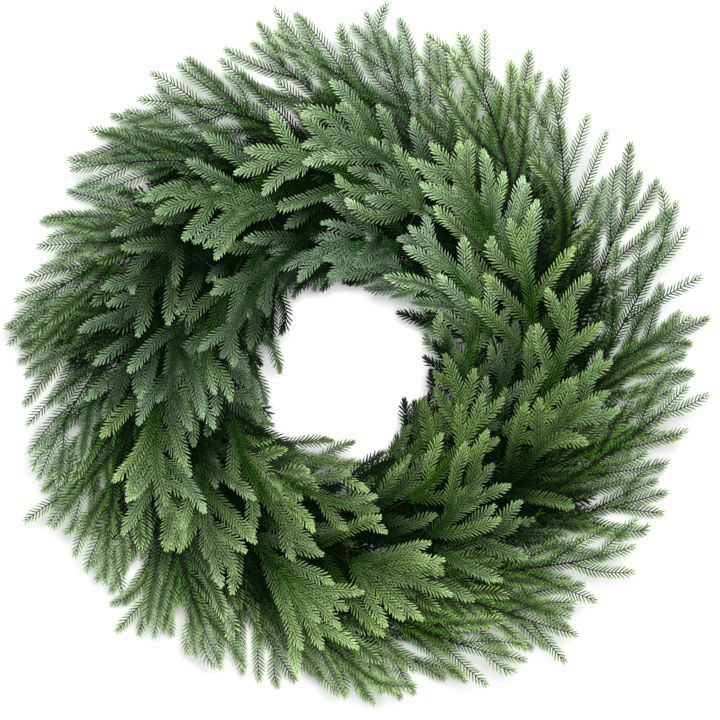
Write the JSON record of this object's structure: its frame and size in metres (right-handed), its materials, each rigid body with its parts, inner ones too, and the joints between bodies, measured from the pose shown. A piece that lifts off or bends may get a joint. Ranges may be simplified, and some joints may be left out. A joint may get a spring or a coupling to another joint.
{
  "type": "fresh evergreen wreath",
  "caption": "Round wreath of needled evergreen sprigs bound over a raised wire ring, its tips sweeping round in one direction, with an open middle.",
  "frame": {"origin": "under the middle of the wreath's outer box, on the surface that it lies on", "axes": "+Z out of the wreath's face, along the hole's axis; +Y towards the top of the wreath when it hangs; +X to its right seen from the front"},
  "size_m": [0.5988, 0.5966, 0.1161],
  "materials": {
    "evergreen": "matte",
    "frame_wire": "satin",
    "binding_wire": "satin"
  },
  "bodies": {
    "root": {"wire_frame": "frame_wire", "binding_wire": "binding_wire", "low_outer_sprig_01": "evergreen", "low_outer_sprig_02": "evergreen", "low_outer_sprig_03": "evergreen", "low_outer_sprig_04": "evergreen", "low_outer_sprig_05": "evergreen", "low_outer_sprig_06": "evergreen", "low_outer_sprig_07": "evergreen", "low_outer_sprig_08": "evergreen", "low_outer_sprig_09": "evergreen", "low_outer_sprig_10": "evergreen", "low_outer_sprig_11": "evergreen", "low_outer_sprig_12": "evergreen", "low_outer_sprig_13": "evergreen", "low_outer_sprig_14": "evergreen", "high_outer_sprig_01": "evergreen", "high_outer_sprig_02": "evergreen", "high_outer_sprig_03": "evergreen", "high_outer_sprig_04": "evergreen", "high_outer_sprig_05": "evergreen", "high_outer_sprig_06": "evergreen", "high_outer_sprig_07": "evergreen", "high_outer_sprig_08": "evergreen", "high_outer_sprig_09": "evergreen", "high_outer_sprig_10": "evergreen", "high_outer_sprig_11": "evergreen", "high_outer_sprig_12": "evergreen", "high_outer_sprig_13": "evergreen", "high_outer_sprig_14": "evergreen", "face_sprig_01": "evergreen", "face_sprig_02": "evergreen", "face_sprig_03": "evergreen", "face_sprig_04": "evergreen", "face_sprig_05": "evergreen", "face_sprig_06": "evergreen", "face_sprig_07": "evergreen", "face_sprig_08": "evergreen", "face_sprig_09": "evergreen", "face_sprig_10": "evergreen", "face_sprig_11": "evergreen", "face_sprig_12": "evergreen", "face_sprig_13": "evergreen", "face_sprig_14": "evergreen", "inner_sprig_01": "evergreen", "inner_sprig_02": "evergreen", "inner_sprig_03": "evergreen", "inner_sprig_04": "evergreen", "inner_sprig_05": "evergreen", "inner_sprig_06": "evergreen", "inner_sprig_07": "evergreen", "inner_sprig_08": "evergreen", "inner_sprig_09": "evergreen", "inner_sprig_10": "evergreen", "inner_sprig_11": "evergreen", "inner_sprig_12": "evergreen", "inner_sprig_13": "evergreen", "inner_sprig_14": "evergreen"}
  },
  "joints": []
}
